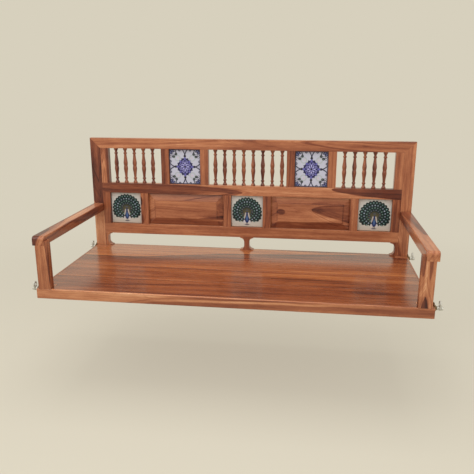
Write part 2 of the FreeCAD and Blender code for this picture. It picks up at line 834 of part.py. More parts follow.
def arm():
    """The right-hand arm: a straight bar with a rounded front, butted on the stile."""
    r = arm_front_radius
    bow = r * (1 - math.sqrt(0.5))
    low_front = V(stile_inner_x, front_y, arm_low)
    round_start = V(stile_inner_x, front_y, arm_top - r)
    round_mid = V(stile_inner_x, front_y + bow, arm_top - bow)
    round_end = V(stile_inner_x, front_y + r, arm_top)
    top_back = V(stile_inner_x, back_front_y, arm_top)
    low_back = V(stile_inner_x, back_front_y, arm_low)
    outline = Part.Wire([
        Part.LineSegment(low_front, round_start).toShape(),
        Part.Arc(round_start, round_mid, round_end).toShape(),
        Part.LineSegment(round_end, top_back).toShape(),
        Part.LineSegment(top_back, low_back).toShape(),
        Part.LineSegment(low_back, low_front).toShape(),
    ])
    body = Part.Face(outline).extrude(V(stile_width, 0, 0))
    rims = []
    for x in (stile_inner_x, end_x):
        for edge in straight_edges(body, x=x):
            box = edge.BoundBox
            if not at(back_front_y, box.YMin, box.YMax) and not at(arm_low, box.ZMin, box.ZMax):
                rims.append(edge)
    body = body.makeFillet(arm_edge_radius, rims)
    return cut_all(body, all_arm_dowels)


def arm_post():
    """The right-hand post: the arm sits on it, against a lip along the post's inner side."""
    body = block(post_inner_x, post_outer_x, front_y, post_rear_y, seat_top, arm_low)
    lip = block(post_inner_x, stile_inner_x, front_y, post_rear_y, arm_low, arm_low + post_lip_height)
    body = body.fuse(lip).removeSplitter()
    rims = []
    for x in (post_inner_x, post_outer_x):
        for y in (front_y, post_rear_y):
            rims += straight_edges(body, x=x, y=y)
    body = body.makeFillet(edge_ease, rims)
    return cut_all(body, all_foot_dowels + all_arm_dowels)


def save_pair(name, shape):
    """Write the right-hand piece and its mirror image."""
    save(name + "_right", shape)
    save(name + "_left", mirror_x(shape))


# Write every piece

save("seat_front_rail", seat_long_rail(front_y, 1))
save("seat_back_rail", seat_long_rail(rear_y, -1))
save_pair("seat_end_rail", seat_end_rail())
for plank_index in range(plank_count):
    save("seat_plank_%d" % (plank_index + 1), seat_plank(plank_index))
for batten_name, batten_share in zip(("left", "centre", "right"), batten_place_shares):
    save("seat_batten_" + batten_name, seat_batten(batten_share))
save("plank_screws", [screw(x, y) for x, y in screw_places()])

save_pair("back_stile", stile())
save("back_top_rail", top_rail())
save("back_mid_rail", cross_rail(*mid_rail_span, muntin_mortises + baluster_holes + rebates + grooves))
save("back_bottom_rail", cross_rail(*bottom_rail_span, muntin_mortises + rebates + grooves))
save("mitre_tongues", mitre_tongues)
for muntin_index, muntin_edge in enumerate(upper_muntin_edges):
    save("upper_muntin_%d" % (muntin_index + 1), muntin(muntin_edge, True))
for muntin_index, muntin_edge in enumerate(lower_muntin_edges):
    save("lower_muntin_%d" % (muntin_index + 1), muntin(muntin_edge, False))
for side_name, muntin_edge in zip(("left", "right"), end_muntin_edges):
    save("upper_end_muntin_" + side_name, muntin(muntin_edge, True))
    save("lower_end_muntin_" + side_name, muntin(muntin_edge, False))
for row_name in baluster_rows:
    save(row_name, [baluster(x) for x in baluster_places(row_name)])

for side_name, tile_span in zip(("left", "right"), upper_tile_openings):
    save("blue_tile_" + side_name, tile(tile_span, upper_tile_height))
for side_name, tile_span in zip(("left", "centre", "right"), lower_tile_openings):
    save("peacock_tile_" + side_name, tile(tile_span, lower_tile_height))
save("upper_tile_boards", [tile_board(tile_span) for tile_span in upper_tile_openings])
save("lower_tile_boards", [tile_board(tile_span) for tile_span in lower_tile_openings])
for side_name, panel_span in zip(("left", "right"), panel_openings):
    save("raised_panel_" + side_name, raised_panel(panel_span))

save_pair("end_bracket", end_bracket())
save("short_post", short_post())
save_pair("arm", arm())
save_pair("arm_post", arm_post())
save("foot_dowels", all_foot_dowels)
save("arm_dowels", all_arm_dowels)

save("hanger_rosettes", [place_at_corner(rosette(), corner_name) for corner_name in hanger_corners])
save("hanger_sleeves", [place_at_corner(sleeve(), corner_name) for corner_name in hanger_corners])
save("hanger_washers", [place_at_corner(washer(), corner_name) for corner_name in hanger_corners])
save("hanger_bolts", [place_at_corner(bolt(), corner_name) for corner_name in hanger_corners])
save("hanger_nuts", [place_at_corner(barrel_nut(), corner_name) for corner_name in hanger_corners])
for corner_name in hanger_corners:
    save("hanger_link_" + corner_name, place_at_corner(link(), corner_name))
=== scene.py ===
import math

import bpy
import numpy as np
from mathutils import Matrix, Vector


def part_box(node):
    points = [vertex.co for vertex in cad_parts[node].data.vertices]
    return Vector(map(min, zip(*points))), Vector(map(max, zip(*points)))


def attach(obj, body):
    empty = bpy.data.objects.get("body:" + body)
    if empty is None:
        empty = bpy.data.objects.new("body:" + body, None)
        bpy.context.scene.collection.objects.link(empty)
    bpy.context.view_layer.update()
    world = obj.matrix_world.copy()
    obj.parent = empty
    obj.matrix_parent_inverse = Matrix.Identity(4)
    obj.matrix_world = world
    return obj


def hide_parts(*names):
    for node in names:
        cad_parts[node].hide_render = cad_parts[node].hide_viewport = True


# A polished sheesham swing bench. Lengths are in metres, in the bench's own frame, where no unit is given.

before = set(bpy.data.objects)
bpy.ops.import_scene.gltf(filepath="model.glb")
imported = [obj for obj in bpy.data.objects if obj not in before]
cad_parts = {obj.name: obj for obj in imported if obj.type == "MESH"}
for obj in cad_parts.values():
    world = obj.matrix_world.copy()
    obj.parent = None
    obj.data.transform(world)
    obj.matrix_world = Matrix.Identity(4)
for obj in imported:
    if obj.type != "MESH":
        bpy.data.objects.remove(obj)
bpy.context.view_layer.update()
bpy.context.scene.view_settings.view_transform = "Standard"
MM = 0.001


def srgb(red, green, blue):
    """A colour written as a screen shows it (0 to 255), as the linear colour that a shader needs."""
    linear = []
    for value in (red, green, blue):
        share = value / 255.0
        linear.append(share / 12.92 if share <= 0.04045 else ((share + 0.055) / 1.055) ** 2.4)
    return (*linear, 1.0)


# Materials

class Recipe:
    """One material under construction: it adds nodes and joins them up as it goes."""

    def __init__(self, name):
        self.material = bpy.data.materials.new(name)
        self.material.use_nodes = True
        self.tree = self.material.node_tree
        self.shader = self.tree.nodes["Principled BSDF"]
        self.place = self.add("ShaderNodeTexCoord").outputs["Object"]

    def add(self, kind, **settings):
        node = self.tree.nodes.new(kind)
        for key, value in settings.items():
            setattr(node, key, value)
        return node

    def feed(self, socket, value):
        """Joins an output to a socket, or writes a plain value on it."""
        if isinstance(value, bpy.types.NodeSocket):
            self.tree.links.new(value, socket)
        else:
            socket.default_value = value

    def maths(self, operation, *values):
        node = self.add("ShaderNodeMath", operation=operation)
        for socket, value in zip(node.inputs, values):
            self.feed(socket, value)
        return node.outputs[0]

    def blend(self, share, first, second, kind="MIX"):
        """A colour between two colours."""
        node = self.add("ShaderNodeMix", data_type="RGBA", blend_type=kind)
        for socket, value in zip((node.inputs[0], node.inputs[6], node.inputs[7]), (share, first, second)):
            self.feed(socket, value)
        return node.outputs[2]

    def step(self, value, low, high, start=0.0, end=1.0):
        """A smooth step from start to end as the value goes from low to high."""
        node = self.add("ShaderNodeMapRange", interpolation_type="SMOOTHSTEP")
        for socket, number in zip(node.inputs, (value, low, high, start, end)):
            self.feed(socket, number)
        return node.outputs[0]

    def split(self, vector):
        node = self.add("ShaderNodeSeparateXYZ")
        self.feed(node.inputs[0], vector)
        return node.outputs

    def join(self, x, y, z):
        node = self.add("ShaderNodeCombineXYZ")
        for socket, value in zip(node.inputs, (x, y, z)):
            self.feed(socket, value)
        return node.outputs[0]

    def stretch(self, vector, scale, shift=(0, 0, 0)):
        node = self.add("ShaderNodeMapping")
        self.feed(node.inputs["Vector"], vector)
        node.inputs["Scale"].default_value = scale
        node.inputs["Location"].default_value = shift
        return node.outputs[0]

    def noise(self, vector, detail=2.0, roughness=0.5):
        node = self.add("ShaderNodeTexNoise")
        self.feed(node.inputs["Vector"], vector)
        node.inputs["Scale"].default_value = 1.0
        node.inputs["Detail"].default_value = detail
        node.inputs["Roughness"].default_value = roughness
        return node.outputs["Fac"]

    def bands(self, value, per_metre, detail=1.0):
        """Uneven bands along a value: noise in one dimension."""
        node = self.add("ShaderNodeTexNoise", noise_dimensions="1D")
        self.feed(node.inputs["W"], self.maths("MULTIPLY", value, per_metre))
        node.inputs["Scale"].default_value = 1.0
        node.inputs["Detail"].default_value = detail
        return node.outputs["Fac"]

    def bump(self, height, depth, strength=1.0, after=None):
        node = self.add("ShaderNodeBump")
        node.inputs["Strength"].default_value = strength
        node.inputs["Distance"].default_value = depth
        self.feed(node.inputs["Height"], height)
        if after is not None:
            self.feed(node.inputs["Normal"], after)
        return node.outputs[0]

    def finish(self, colour, roughness, normal=None, **shader):
        self.feed(self.shader.inputs["Base Color"], colour)
        self.feed(self.shader.inputs["Roughness"], roughness)
        if normal is not None:
            self.feed(self.shader.inputs["Normal"], normal)
        for key, value in shader.items():
            self.shader.inputs[key.replace("_", " ")].default_value = value
        return self.material


# Sheesham's own tones, from the near-black lines of the heart to pale sapwood, each at its share of the
# range
TONES = (
    (0.00, (56, 22, 16)), (0.14, (84, 37, 25)), (0.30, (113, 57, 37)), (0.46, (139, 78, 50)),
    (0.62, (160, 97, 64)), (0.78, (181, 117, 79)), (0.90, (199, 138, 98)), (1.00, (214, 160, 120)),
)
AXES = {"X": 0, "Y": 1, "Z": 2}


def tongue(tip, toward, reach, half_width, drift=0.0, soft=3.0, depth=0.45):
    """A tongue of heartwood. Its tip is (along, across) the grain in millimetres; it widens toward 1 or -1
    along the grain, is half_width to each side at reach from its tip, and drifts across as it goes."""
    def outside(recipe, along, across):
        """The distance from the middle line, less half the width, which grows as the root of the way."""
        way = recipe.maths("MULTIPLY", recipe.maths("SUBTRACT", along, tip[0] * MM), float(toward))
        middle = recipe.maths("MULTIPLY_ADD", way, drift, tip[1] * MM)
        off = recipe.maths("ABSOLUTE", recipe.maths("SUBTRACT", across, middle))
        spread = (half_width * MM) ** 2 / (reach * MM)
        half = recipe.maths("SQRT", recipe.maths("MULTIPLY", recipe.maths("MAXIMUM", way, 0.0), spread))
        before = recipe.maths("MAXIMUM", recipe.maths("MULTIPLY", way, -0.3), 0.0)
        return recipe.maths("ADD", recipe.maths("SUBTRACT", off, half), before)
    return outside, soft * MM, depth


def patch(middle, half_length, half_width, turn=0.0, soft=6.0, depth=0.2):
    """A long oval that darkens the board's tone, or lightens it where depth is negative, turned by turn
    radians. Most are figures in the wood; the ones on the panels' bevels and at the first lower muntin are
    painted shade.
    """
    def outside(recipe, along, across):
        """(Scaled distance from the middle - 1) times the half width."""
        x = recipe.maths("SUBTRACT", along, middle[0] * MM)
        y = recipe.maths("SUBTRACT", across, middle[1] * MM)
        cos, sin = math.cos(turn), math.sin(turn)
        run = recipe.maths("MULTIPLY_ADD", x, cos / (half_length * MM),
                           recipe.maths("MULTIPLY", y, sin / (half_length * MM)))
        rise = recipe.maths("MULTIPLY_ADD", y, cos / (half_width * MM),
                            recipe.maths("MULTIPLY", x, -sin / (half_width * MM)))
        square = recipe.maths("MULTIPLY_ADD", run, run, recipe.maths("MULTIPLY", rise, rise))
        size = recipe.maths("SQRT", square)
        return recipe.maths("MULTIPLY", recipe.maths("SUBTRACT", size, 1.0), half_width * MM)
    return outside, soft * MM, depth


def shore(start, end, slope, soft=6.0, depth=0.1, band=0.0):
    """Everything past a line that runs level up to start, climbs to end by a smooth step, and goes on by
    slope along the grain. With a band it is only that many millimetres to each side of the line."""
    def outside(recipe, along, across):
        """line = the smooth step + slope * (the way past end). The distance is line - across, or
        |line - across| - band."""
        line = recipe.step(along, start[0] * MM, end[0] * MM, start[1] * MM, end[1] * MM)
        past = recipe.maths("MAXIMUM", recipe.maths("SUBTRACT", along, end[0] * MM), 0.0)
        line = recipe.maths("MULTIPLY_ADD", past, slope, line)
        off = recipe.maths("SUBTRACT", line, across)
        if band:
            off = recipe.maths("SUBTRACT", recipe.maths("ABSOLUTE", off), band * MM)
        return off
    return outside, soft * MM, depth


# How close together each kind of mark lies, per metre along the grain, across the show side, and in depth
MARKS = dict(
    bend=(1.7, 7.0, 7.0), sway=(8.0, 26.0, 26.0), streaks=(2.6, 60.0, 60.0), cloud=(2.0, 9.0, 9.0),
    fibre=(22.0, 850.0, 850.0), mottle=(13.0, 42.0, 42.0), flecks=(36.0, 420.0, 420.0),
    pores=(90.0, 2300.0, 2300.0),
)
# Bands of growth per metre, from broad to fine
BROAD_BANDS, VEIN_BANDS, LINE_BANDS = 24.0, 85.0, 330.0
PORE_COLOUR = srgb(92, 56, 44)
# How much paler each kind of mark makes the wood, or darker where it is below 0, on the range of the tones
WEIGHTS = dict(broad=0.9, streaks=0.95, cloud=0.8, fibre=0.22, mottle=0.45,
               veins=-0.34, lines=-0.14, flecks=-0.12, painted_step_shade=-0.15)
# How far the lines of growth wander, broadly and finely, how far a figure's edge wanders, and how ragged
# it is
BEND_WIDTH = 0.050
SWAY_WIDTH = 0.010
FIGURE_SWAY = 0.007
FIGURE_RAGGED = 0.012
# How fast a figure drifts with depth, how close to it the lines of growth bend round it, and the reach of
# the shade in a corner
FIGURE_CUT = 0.45
WRAP_REACH = 0.030
CORNER_REACH = 0.007


def sheesham(node, grain, face, level, figures=(), contrast=1.0, slant=0.0, seed=0.0, rough=0.24, coat=0.2,
             haze=0.12, base=0.35, cut=0.45, painted_step_shade=None, wrapped=True, tint=(255, 255, 255)):
    """Polished sheesham for one board. grain is the axis of the fibres and face the axis across the side
    that shows. level is how pale the board is, on the range of the tones, contrast how strong its marks are,
    slant how fast its lines of growth drift across it, and cut how fast they change with depth. The first
    figure bends them round it where wrapped is set. crease is the span of depths, in millimetres, that is
    darkened as painted shade, along the step round a panel's raised field. tint is the colour of the
    varnish, coat and haze its weight and its blur, and rough and base the blur and shine of the wood under
    it."""
    recipe = Recipe("sheesham_" + node)
    low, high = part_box(node)
    parts = recipe.split(recipe.place)
    along, flat = parts[AXES[grain]], parts[AXES[face]]
    sides = ({0, 1, 2} - {AXES[grain], AXES[face]}).pop()
    if sides == 1:
        depth = recipe.maths("SUBTRACT", parts[sides], low[sides])
    else:
        depth = recipe.maths("SUBTRACT", high[sides], parts[sides])
    board = recipe.join(along, flat, depth)

    bend = recipe.noise(recipe.stretch(board, MARKS["bend"], (seed * 3.1, seed * 1.7, seed)), 2.0)
    sway = recipe.noise(recipe.stretch(board, MARKS["sway"], (seed, seed * 2.3, seed * 5.3)), 2.0)
    across = recipe.maths("MULTIPLY_ADD", depth, cut, flat)
    across = recipe.maths("MULTIPLY_ADD", along, -slant, across)
    across = recipe.maths("MULTIPLY_ADD", recipe.maths("SUBTRACT", bend, 0.5), BEND_WIDTH, across)
    across = recipe.maths("MULTIPLY_ADD", recipe.maths("SUBTRACT", sway, 0.5), SWAY_WIDTH, across)
    near = recipe.maths("MULTIPLY_ADD", depth, FIGURE_CUT, flat)
    near = recipe.maths("MULTIPLY_ADD", recipe.maths("SUBTRACT", sway, 0.5), FIGURE_SWAY, near)

    shapes = [(outside(recipe, along, near), soft, dark) for outside, soft, dark in figures]
    growth = recipe.maths("ADD", across, seed * 0.37)
    if shapes and wrapped:
        wrap = recipe.maths("MINIMUM", shapes[0][0], WRAP_REACH)
        growth = recipe.maths("MULTIPLY_ADD", wrap, 1.0, recipe.maths("MULTIPLY", growth, 0.35))

    broad = recipe.bands(growth, BROAD_BANDS, 2.0)
    veins = recipe.bands(growth, VEIN_BANDS, 2.0)
    lines = recipe.bands(growth, LINE_BANDS, 1.0)
    streaks = recipe.stretch(board, MARKS["streaks"], (seed * 1.3, seed, seed * 2.9))
    streaks = recipe.noise(streaks, 4.0, 0.62)
    cloud = recipe.noise(recipe.stretch(board, MARKS["cloud"], (seed * 0.7, seed * 1.9, seed)), 2.0)
    fibre = recipe.noise(recipe.stretch(board, MARKS["fibre"], (seed, seed, seed)), 3.0, 0.65)
    mottle = recipe.noise(recipe.stretch(board, MARKS["mottle"], (seed * 2.1, seed, seed)), 3.0, 0.6)
    flecks = recipe.noise(recipe.stretch(board, MARKS["flecks"], (seed, seed * 1.1, seed)), 2.0)

    tone = level
    layers = dict(broad=broad, streaks=streaks, cloud=cloud, fibre=fibre, mottle=mottle)
    for name, layer in layers.items():
        about = recipe.maths("SUBTRACT", layer, 0.5)
        tone = recipe.maths("MULTIPLY_ADD", about, WEIGHTS[name] * contrast, tone)
    fade = recipe.step(cloud, 0.35, 0.65, 0.25, 1.0)
    vein = recipe.maths("MULTIPLY", recipe.step(veins, 0.56, 0.68), fade)
    tone = recipe.maths("MULTIPLY_ADD", vein, WEIGHTS["veins"] * contrast, tone)
    line = recipe.step(lines, 0.50, 0.68)
    tone = recipe.maths("MULTIPLY_ADD", line, WEIGHTS["lines"] * contrast, tone)
    tone = recipe.maths("MULTIPLY_ADD", recipe.step(flecks, 0.58, 0.70), WEIGHTS["flecks"], tone)
    # Painted shade: the band of depths at the step round a raised field is darkened.
    if painted_step_shade:
        inner = recipe.step(depth, (painted_step_shade[0] - 0.5) * MM, painted_step_shade[0] * MM)
        outer = recipe.step(depth, painted_step_shade[1] * MM, (painted_step_shade[1] + 0.8) * MM, 1.0, 0.0)
        step_shade_share = recipe.maths("MULTIPLY", inner, outer)
        tone = recipe.maths("MULTIPLY_ADD", step_shade_share, WEIGHTS["painted_step_shade"], tone)
    for outside, soft, dark in shapes:
        about = recipe.maths("SUBTRACT", streaks, 0.5)
        ragged = recipe.maths("MULTIPLY_ADD", about, FIGURE_RAGGED, outside)
        tone = recipe.maths("MULTIPLY_ADD", recipe.step(ragged, -soft, soft, 1.0, 0.0), -dark, tone)

    ramp = recipe.add("ShaderNodeValToRGB").color_ramp
    for place, colour in TONES[1:-1]:
        ramp.elements.new(place)
    for element, (place, colour) in zip(ramp.elements, TONES):
        element.position, element.color = place, srgb(*colour)
    mixer = recipe.tree.nodes[-1]
    recipe.feed(mixer.inputs[0], tone)
    colour = mixer.outputs[0]

    pores = recipe.noise(recipe.stretch(board, MARKS["pores"], (seed, 0, seed)), 1.0)
    pores = recipe.step(pores, 0.63, 0.72)
    colour = recipe.blend(recipe.maths("MULTIPLY", pores, 0.5), colour, PORE_COLOUR, "MULTIPLY")
    colour = recipe.blend(1.0, colour, srgb(*tint), "MULTIPLY")
    # Painted shade: the colour is darkened where ambient occlusion finds other surfaces close by, in corners
    # and between parts.
    corner = recipe.add("ShaderNodeAmbientOcclusion", samples=6)
    corner.inputs["Distance"].default_value = CORNER_REACH
    shade = recipe.step(corner.outputs["AO"], 0.30, 0.85, 0.60, 1.0)
    colour = recipe.blend(1.0, colour, recipe.join(shade, shade, shade), "MULTIPLY")

    sheen = recipe.maths("MULTIPLY_ADD", streaks, 0.14, rough)
    normal = recipe.bump(pores, 0.05 * MM, 0.5)
    normal = recipe.bump(fibre, 0.02 * MM, 0.4, after=normal)
    return recipe.finish(
        colour, sheen, normal, Specular_IOR_Level=base, Coat_Weight=coat, Coat_Roughness=haze)


def plain_wood(name, pale, deep, scale):
    """Bare joinery wood and board, seen only at the back or from below."""
    recipe = Recipe(name)
    grain = recipe.noise(recipe.stretch(recipe.place, scale), 3.0)
    colour = recipe.blend(recipe.step(grain, 0.3, 0.7), pale, deep)
    fine = recipe.noise(recipe.stretch(recipe.place, tuple(8 * part for part in scale)), 2.0)
    colour = recipe.blend(recipe.step(fine, 0.45, 0.8, 0.0, 0.35), colour, deep)
    return recipe.finish(colour, 0.62, recipe.bump(fine, 0.05 * MM, 0.5))


def metal(name, pale, dark, roughness, wear, bare=1.0):
    """Worn metal: tarnish gathers in patches, and the polish is uneven. bare is how little of it is dulled
    by plating or lacquer."""
    recipe = Recipe(name)
    tarnish = recipe.noise(recipe.stretch(recipe.place, (160.0, 160.0, 160.0)), 4.0, 0.6)
    scratch = recipe.noise(recipe.stretch(recipe.place, (900.0, 900.0, 5000.0)), 2.0)
    colour = recipe.blend(recipe.step(tarnish, 0.42, 0.66, 0.0, wear), pale, dark)
    rough = recipe.maths("MULTIPLY_ADD", scratch, 0.18, roughness)
    return recipe.finish(colour, rough, recipe.bump(scratch, 0.02 * MM, 0.5), Metallic=bare)


def glaze(name):
    """Glazed tile: its painting is stored on its surface as the attribute paint, under clear glass."""
    recipe = Recipe(name)
    paint = recipe.add("ShaderNodeAttribute", attribute_name="paint").outputs["Color"]
    bloom = recipe.noise(recipe.stretch(recipe.place, (700.0, 700.0, 700.0)), 3.0)
    colour = recipe.blend(recipe.step(bloom, 0.3, 0.8, 0.0, 0.10), paint, srgb(120, 120, 125), "MULTIPLY")
    wave = recipe.noise(recipe.stretch(recipe.place, (90.0, 90.0, 90.0)), 1.0)
    normal = recipe.bump(wave, 0.12 * MM, 0.35)
    return recipe.finish(
        colour, 0.30, normal, Specular_IOR_Level=0.25, Coat_Weight=0.3, Coat_Roughness=0.05)


# How each board is cut: its grain, the axis across its show side, how pale it is, its figures, in
# millimetres in the bench's frame, and what else sets it apart. Some of the figures are painted shade, as
# marked below. The seat's boards share a thick varnish, one dark line that climbs across them, a painted
# reflection of the backdrop that makes them paler behind that line, and the darker wood in front of it.
SEAT_BOARD = dict(rough=0.20, coat=0.78, haze=0.18, base=0.2, wrapped=False, tint=(255, 244, 208))
SEAT_LINE = ((-540, 128), (-20, 228), 0.11)
SEAT_SHADE = ((-540, 92), (-20, 190), 0.11)
BOARDS = {
    "back_top_rail": ("X", "Z", 0.70, [
        patch((420, 562), 160, 9, -0.05, 8, 0.14), patch((600, 548), 200, 16, 0.05, 9, 0.08),
        patch((520, 550), 300, 60, 0.0, 30, 0.15), patch((-420, 566), 200, 8, 0.03, 6, -0.08),
    ], dict(slant=0.05, contrast=0.8)),
    "back_mid_rail": ("X", "Z", 0.80, [
        tongue((-22, 325), -1, 260, 36, drift=-0.03, depth=0.42),
        tongue((398, 352), 1, 300, 38, drift=-0.012, depth=0.60),
        patch((-440, 330), 120, 14, 0.0, 12, -0.04),
        patch((-130, 340), 120, 16, -0.05, 8, 0.09),
        patch((-600, 346), 160, 16, 0.0, 10, 0.03),
    ], dict(contrast=0.7)),
    "back_bottom_rail": ("X", "Z", 0.70, [
        patch((-250, 140), 300, 4, 0.0, 4, 0.10), patch((350, 125), 420, 30, 0.0, 20, -0.03),
    ], dict(contrast=0.8)),
    "back_stile_left": ("Z", "X", 0.84, [
        tongue((232, -728), 1, 60, 44, drift=-0.03, soft=4, depth=0.60),
        patch((425, -714), 34, 10, 0.0, 4, 0.12), patch((130, -722), 90, 40, 0.0, 20, -0.06),
    ], dict(contrast=0.7)),
    "back_stile_right": ("Z", "X", 0.66, [
        tongue((128, 718), -1, 80, 7, drift=0.08, soft=2, depth=0.42),
    ], dict(slant=0.03)),
    "seat_front_rail": ("X", "Z", 0.70, [
        tongue((-300, 2), 1, 420, 22, drift=-0.004, soft=6, depth=0.12),
        patch((90, 24), 330, 5, 0.012, 4, -0.26), patch((320, 18), 600, 30, 0.0, 16, -0.07),
        patch((-60, 34), 260, 4, 0.0, 3, 0.22),
    ], dict(contrast=0.6)),
    "seat_back_rail": ("X", "Y", 0.68, [patch((150, 332), 500, 4, 0.004, 3, 0.2)], dict(contrast=0.5)),
    "seat_end_rail_left": ("Y", "X", 0.62, [], dict(contrast=0.6)),
    "seat_end_rail_right": ("Y", "X", 0.62, [], dict(contrast=0.6)),
    "seat_plank_1": ("X", "Y", 0.42, [
        patch((120, -318), 700, 6, 0.0, 6, 0.10), patch((560, -203), 130, 16, 0.0, 10, 0.22),
        patch((-340, -228), 250, 7, 0.10, 6, 0.24), patch((-640, -240), 150, 12, -0.06, 8, 0.16),
    ], dict(slant=0.02, contrast=0.52, **SEAT_BOARD)),
    "seat_plank_2": ("X", "Y", 0.50, [
        patch((310, -85), 330, 3, 0.0, 3, 0.30), patch((390, -114), 300, 5, -0.01, 4, 0.34),
        patch((300, -156), 420, 5, 0.0, 5, 0.18), patch((410, -36), 240, 20, 0.0, 14, -0.12),
        patch((-420, -130), 360, 9, 0.05, 8, 0.14),
    ], dict(slant=-0.02, contrast=0.52, **SEAT_BOARD)),
    "seat_plank_3": ("X", "Y", 0.54, [
        # The first shore makes the wood behind the line paler, as a painted reflection of the backdrop. The
        # second is the dark line itself.
        shore(*SEAT_LINE, 6, -0.12), shore(*SEAT_LINE, 4, 0.50, 6),
        patch((250, 84), 420, 12, 0.01, 10, -0.06), shore(*SEAT_SHADE, 22, 0.15, 30),
        patch((-420, 84), 360, 40, 0.02, 24, 0.12),
    ], dict(slant=0.02, contrast=0.52, **SEAT_BOARD)),
    "seat_plank_4": ("X", "Y", 0.53, [
        # The first shore makes the wood behind the line paler, as a painted reflection of the backdrop. The
        # second is the dark line itself.
        shore(*SEAT_LINE, 6, -0.12), shore(*SEAT_LINE, 4, 0.50, 6),
        patch((470, 225), 330, 70, 0.0, 34, 0.17), shore(*SEAT_SHADE, 22, 0.15, 30),
        patch((470, 322), 330, 9, 0.0, 5, 0.34), patch((300, 290), 110, 7, -0.03, 4, -0.20),
    ], dict(slant=-0.03, contrast=0.52, **SEAT_BOARD)),
    "seat_batten_left": ("Y", "X", 0.6, [], dict()),
    "seat_batten_centre": ("Y", "X", 0.6, [], dict()),
    "seat_batten_right": ("Y", "X", 0.6, [], dict()),
    "upper_muntin_1": ("Z", "X", 0.50, [], dict(contrast=0.7)),
    "upper_muntin_2": ("Z", "X", 0.54, [], dict(contrast=0.7, slant=0.05)),
    "upper_muntin_3": ("Z", "X", 0.36, [], dict(contrast=0.7)),
    "upper_muntin_4": ("Z", "X", 0.78, [], dict(contrast=0.7)),
    "lower_muntin_1": ("Z", "X", 0.68, [
        # Both patches are painted shadow: short dark lines down the muntin's edge beside the recessed tile.
        patch((270, -522), 18, 6, 0.0, 4, 0.45), patch((178, -519), 20, 5, 0.0, 4, 0.40),
    ], dict(slant=0.08)),
    "lower_muntin_2": ("Z", "X", 0.60, [], dict(slant=0.05)),
    "lower_muntin_3": ("Z", "X", 0.58, [], dict(contrast=0.8)),
    "lower_muntin_4": ("Z", "X", 0.62, [], dict(contrast=0.8)),
    "upper_end_muntin_left": ("Z", "X", 0.62, [
        tongue((470, -700), -1, 140, 16, depth=-0.04), patch((465, -708), 14, 4, 0.0, 2, 0.35),
        patch((430, -684), 120, 5, 0.02, 4, 0.16),
    ], dict()),
    "upper_end_muntin_right": ("Z", "X", 0.68, [], dict(contrast=0.8)),
    "lower_end_muntin_left": ("Z", "X", 0.42, [], dict(contrast=0.8)),
    "lower_end_muntin_right": ("Z", "X", 0.50, [], dict(contrast=0.8)),
    "raised_panel_left": ("X", "Z", 0.64, [
        tongue((-240, 192), 1, 90, 6, drift=0.04, soft=2, depth=0.38),
        patch((-255, 288), 75, 3, 0.2, 2, 0.30), patch((-128, 250), 16, 26, 0.0, 6, 0.2),
        # patch((-300, 172)) darkens the bottom bevel and patch((-131, 232)) the right-hand bevel: painted
        # shade.
        patch((-190, 204), 60, 4, 0.0, 3, 0.25), patch((-300, 172), 260, 16, 0.0, 2, 0.24),
        patch((-131, 232), 15, 90, 0.0, 2, 0.12),
    ], dict(contrast=0.52, cut=3.0, painted_step_shade=(1.0, 2.6))),
    "raised_panel_right": ("X", "Z", 0.775, [
        tongue((309, 251), 1, 50, 23, drift=-0.08, soft=2, depth=0.34),
        patch((164, 238), 20, 13, 0.0, 2.5, 0.36), patch((334, 249), 30, 17, -0.10, 7, 0.18),
        tongue((250, 180), 1, 150, 12, drift=0.05, soft=4, depth=0.16),
        # patch((300, 172)), patch((131, 232)) and patch((300, 293)) darken the bottom, left-hand and top
        # bevels: painted shade, under the mid rail at the top.
        patch((300, 172), 260, 16, 0.0, 2, 0.24), patch((131, 232), 15, 90, 0.0, 2, 0.14),
        patch((300, 293), 260, 15, 0.0, 2, 0.10),
    ], dict(contrast=0.7, cut=3.0, painted_step_shade=(1.0, 2.6))),
    "end_bracket_left": ("Z", "X", 0.62, [], dict()),
    "end_bracket_right": ("Z", "X", 0.58, [patch((75, 700), 34, 5, 0.0, 4, 0.3)], dict()),
    "short_post": ("Z", "X", 0.52, [], dict()),
    "arm_left": ("Y", "X", 0.54, [
        patch((-320, -752), 100, 16, 0.0, 4, 0.30), patch((120, -757), 260, 7, 0.0, 4, 0.28),
        patch((0, -702), 400, 15, 0.0, 5, 0.15), patch((-40, -728), 260, 5, 0.0, 4, -0.08),
    ], dict(contrast=0.7)),
    "arm_right": ("Y", "X", 0.695, [
        tongue((-110, 760), 1, 160, 22, drift=-0.03, soft=2, depth=0.27),
    ], dict(contrast=0.7)),
    "arm_post_left": ("Z", "X", 0.63, [patch((90, -704), 70, 3, 0.0, 4, 0.18)],
                      dict(slant=0.12, contrast=0.95)),
    "arm_post_right": ("Z", "X", 0.73, [
        tongue((86, 724), -1, 40, 11, soft=2, depth=0.42), tongue((160, 710), 1, 46, 7, soft=2, depth=0.34),
        tongue((150, 736), 1, 60, 7, soft=2, depth=0.34), patch((206, 723), 30, 5, 0.0, 3, -0.10),
    ], dict(contrast=0.8)),
    "baluster_row_left": ("Z", "X", 0.44, [], dict(contrast=0.8)),
    "baluster_row_centre": ("Z", "X", 0.44, [], dict(contrast=0.8)),
    "baluster_row_right": ("Z", "X", 0.44, [], dict(contrast=0.8)),
}


def dress(node, material):
    """Gives a carried-over piece its material."""
    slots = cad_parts[node].data.materials
    slots.clear()
    slots.append(material)


def dress_boards():
    """Cuts every board from its own place in the log, which its seed sets."""
    for index, (node, (grain, face, level, figures, more)) in enumerate(BOARDS.items()):
        dress(node, sheesham(node, grain, face, level, figures, seed=1.0 + index * 0.73, **more))


